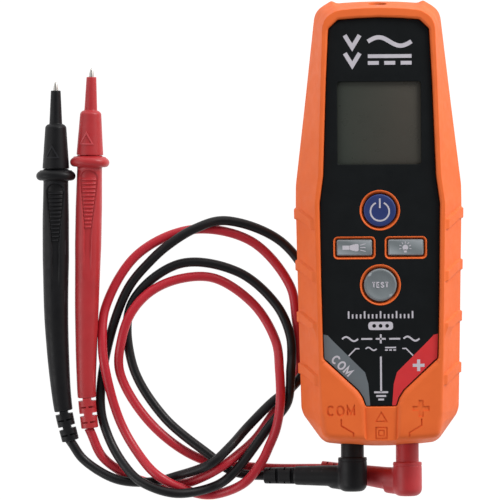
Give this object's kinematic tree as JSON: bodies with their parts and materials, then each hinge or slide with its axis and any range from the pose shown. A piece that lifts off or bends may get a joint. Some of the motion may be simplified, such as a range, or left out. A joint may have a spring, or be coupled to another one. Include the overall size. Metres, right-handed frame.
{
  "type": "handheld voltage tester with test leads",
  "caption": "Slim handheld electrical tester with a square display, round and flat keys, and two plug-in test leads that end in guarded probes.",
  "frame": {"origin": "middle of the tester body's box on the surface it lies on, back face down", "axes": "+Y along the body towards the display and work light, +Z out of the front face, +X to the right when the face is read"},
  "size_m": [0.1728, 0.2018, 0.036],
  "materials": {
    "orange_shell": "soft-touch moulded, satin, fine grain",
    "black_panel": "fine matte grain with printed marks",
    "clear_window": "clear polished window",
    "lcd": "dark olive-grey display cell",
    "key_blue": "moulded silicone key, satin",
    "key_grey": "moulded silicone key, satin",
    "black_plastic": "moulded, matte",
    "white_plastic": "moulded, matte",
    "red_plastic": "moulded, satin",
    "red_cord": "silicone cord jacket, satin",
    "black_cord": "silicone cord jacket, satin",
    "circuit_board": "green solder mask",
    "cell_jacket": "printed film over a steel can",
    "nickel": "bright nickel plate",
    "screw_steel": "zinc-plated steel",
    "brass": "turned brass"
  },
  "bodies": {
    "tester": {"front_case": "orange_shell", "rear_case": "orange_shell", "face_panel": "black_panel", "power_switch": "black_plastic", "gfci_switch": "black_plastic", "worklight_switch": "black_plastic", "backlight_switch": "black_plastic", "display_window": "clear_window", "display_glass": "lcd", "display_frame": "black_plastic", "backlight_diffuser": "white_plastic", "display_connector": "key_grey", "circuit_board": "circuit_board", "buzzer": "black_plastic", "load_resistor": "white_plastic", "worklight_led": "white_plastic", "worklight_lens": "clear_window", "cell_1": "cell_jacket", "cell_2": "cell_jacket", "cell_spring_1": "nickel", "cell_spring_2": "nickel", "contact_bridge": "nickel", "contact_positive": "nickel", "contact_negative": "nickel", "case_screw_1": "screw_steel", "case_screw_2": "screw_steel", "case_screw_3": "screw_steel", "case_screw_4": "screw_steel", "jack_block": "black_plastic", "jack_com": "brass", "jack_plus": "brass"},
    "power_key": {"power_button": "key_blue"},
    "gfci_key": {"gfci_button": "key_grey"},
    "worklight_key": {"worklight_button": "key_grey"},
    "backlight_key": {"backlight_button": "key_grey"},
    "battery_door": {"battery_door": "black_plastic"},
    "battery_door_screw": {"battery_door_screw": "screw_steel"},
    "black_lead": {"black_plug_pin": "nickel", "black_plug_body": "black_plastic", "black_plug_relief": "black_plastic", "black_cord": "black_cord", "black_probe_relief": "black_plastic", "black_probe_body": "black_plastic", "black_probe_tip": "nickel"},
    "black_cap": {"black_probe_cap": "black_plastic"},
    "red_lead": {"red_plug_pin": "nickel", "red_plug_body": "red_plastic", "red_plug_relief": "red_plastic", "red_cord": "red_cord", "red_probe_relief": "red_plastic", "red_probe_body": "red_plastic", "red_probe_tip": "nickel"},
    "red_cap": {"red_probe_cap": "red_plastic"}
  },
  "joints": [
    {"name": "power_key_press", "type": "slide", "parent": "tester", "child": "power_key", "axis": [0, 0, -1], "range_m": [0, 0.0009], "stiffness_N_per_m": 600, "springref_m": -0.0006},
    {"name": "gfci_key_press", "type": "slide", "parent": "tester", "child": "gfci_key", "axis": [0, 0, -1], "range_m": [0, 0.0009], "stiffness_N_per_m": 600, "springref_m": -0.0006},
    {"name": "worklight_key_press", "type": "slide", "parent": "tester", "child": "worklight_key", "axis": [0, 0, -1], "range_m": [0, 0.0009], "stiffness_N_per_m": 600, "springref_m": -0.0006},
    {"name": "backlight_key_press", "type": "slide", "parent": "tester", "child": "backlight_key", "axis": [0, 0, -1], "range_m": [0, 0.0009], "stiffness_N_per_m": 600, "springref_m": -0.0006},
    {"name": "battery_door_lift", "type": "slide", "parent": "tester", "child": "battery_door", "axis": [0, 0, -1], "range_m": [0, 0.03]},
    {"name": "battery_door_screw_turn", "type": "hinge", "parent": "battery_door", "child": "battery_door_screw", "pos_m": [0, -0.0302, 0.0047], "axis": [0, 0, 1], "continuous": true},
    {"name": "black_lead_unplug", "type": "slide", "parent": "tester", "child": "black_lead", "axis": [0, -1, 0], "range_m": [0, 0.024]},
    {"name": "red_lead_unplug", "type": "slide", "parent": "tester", "child": "red_lead", "axis": [0, -1, 0], "range_m": [0, 0.024]},
    {"name": "black_cap_pull", "type": "slide", "parent": "black_lead", "child": "black_cap", "axis": [0.0079, 0.9991, 0.0423], "range_m": [0, 0.04]},
    {"name": "red_cap_pull", "type": "slide", "parent": "red_lead", "child": "red_cap", "axis": [0.0291, 0.9987, 0.0423], "range_m": [0, 0.04]}
  ],
  "couplings": [
    {"joint": "red_lead_unplug", "follows": "black_lead_unplug", "ratio": 1}
  ]
}
